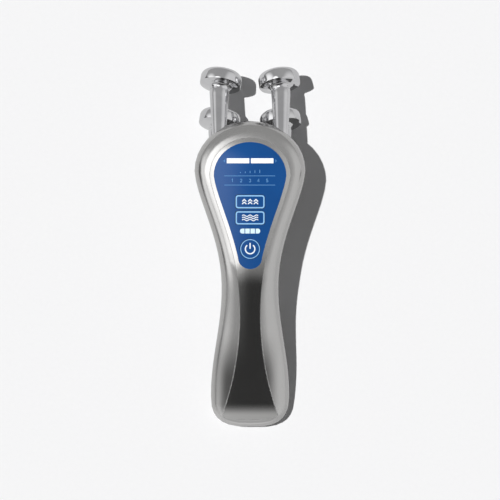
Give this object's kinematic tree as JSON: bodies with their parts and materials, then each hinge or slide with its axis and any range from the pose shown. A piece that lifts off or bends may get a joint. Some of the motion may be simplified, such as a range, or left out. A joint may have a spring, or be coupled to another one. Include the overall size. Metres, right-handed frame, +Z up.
{
  "type": "facial toning device",
  "caption": "Hand-held facial toning device with round chromed contact probes on stems, a bent two-part housing with a control panel, press keys, lamp windows and a charging inlet.",
  "frame": {"origin": "centre of the bounding box's underside, on the table under the device, which lies on its foot and its rear probes", "axes": "+X to the device's right when the panel is seen from above with the probes away from the viewer, +Y from the foot to the probes, +Z up out of the panel"},
  "size_m": [0.0556, 0.1817, 0.0389],
  "materials": {
    "housing_silver": "satin",
    "panel_charcoal": "matte",
    "overlay_blue": "gloss",
    "key_blue": "gloss",
    "lamp_white": "satin",
    "probe_chrome": "polished",
    "screw_steel": "satin",
    "tag_brass": "satin",
    "coil_copper": "satin",
    "board_green": "satin",
    "part_black": "matte",
    "part_grey": "matte",
    "part_ivory": "satin",
    "cell_blue": "satin",
    "lead_red": "satin"
  },
  "bodies": {
    "housing": {"front_casing": "housing_silver", "rear_casing": "housing_silver", "centre_panel": "panel_charcoal", "control_overlay": "overlay_blue", "key_switches": "part_grey", "level_light_pipes": "lamp_white", "status_light_pipes": "lamp_white", "level_leds": "part_ivory", "status_leds": "part_ivory", "main_board": "board_green", "board_screws": "screw_steel", "control_chip": "part_black", "output_coils": "coil_copper", "board_capacitors": "cell_blue", "battery_socket": "part_ivory", "buzzer": "part_black", "battery_cell": "cell_blue", "battery_tray": "part_grey", "battery_leads": "lead_red", "probe_front_left": "probe_chrome", "probe_front_right": "probe_chrome", "probe_rear_left": "probe_chrome", "probe_rear_right": "probe_chrome", "probe_carrier": "part_ivory", "carrier_screws": "screw_steel", "probe_nuts": "screw_steel", "probe_tags": "tag_brass", "probe_leads": "lead_red", "charge_jack": "part_black", "charge_board": "board_green", "charge_leads": "lead_red", "casing_screws": "screw_steel"},
    "upper_mode_key_body": {"upper_mode_key": "key_blue", "upper_key_plunger": "part_black"},
    "lower_mode_key_body": {"lower_mode_key": "key_blue", "lower_key_plunger": "part_black"},
    "power_key_body": {"power_key": "key_blue", "power_key_plunger": "part_black"}
  },
  "joints": [
    {"name": "upper_mode_key_travel", "type": "slide", "parent": "housing", "child": "upper_mode_key_body", "axis": [0, 0, -1], "range_m": [0, 0.00035], "stiffness_N_per_m": 400},
    {"name": "lower_mode_key_travel", "type": "slide", "parent": "housing", "child": "lower_mode_key_body", "axis": [0, 0, -1], "range_m": [0, 0.00035], "stiffness_N_per_m": 400},
    {"name": "power_key_travel", "type": "slide", "parent": "housing", "child": "power_key_body", "axis": [0, 0, -1], "range_m": [0, 0.00035], "stiffness_N_per_m": 400}
  ]
}
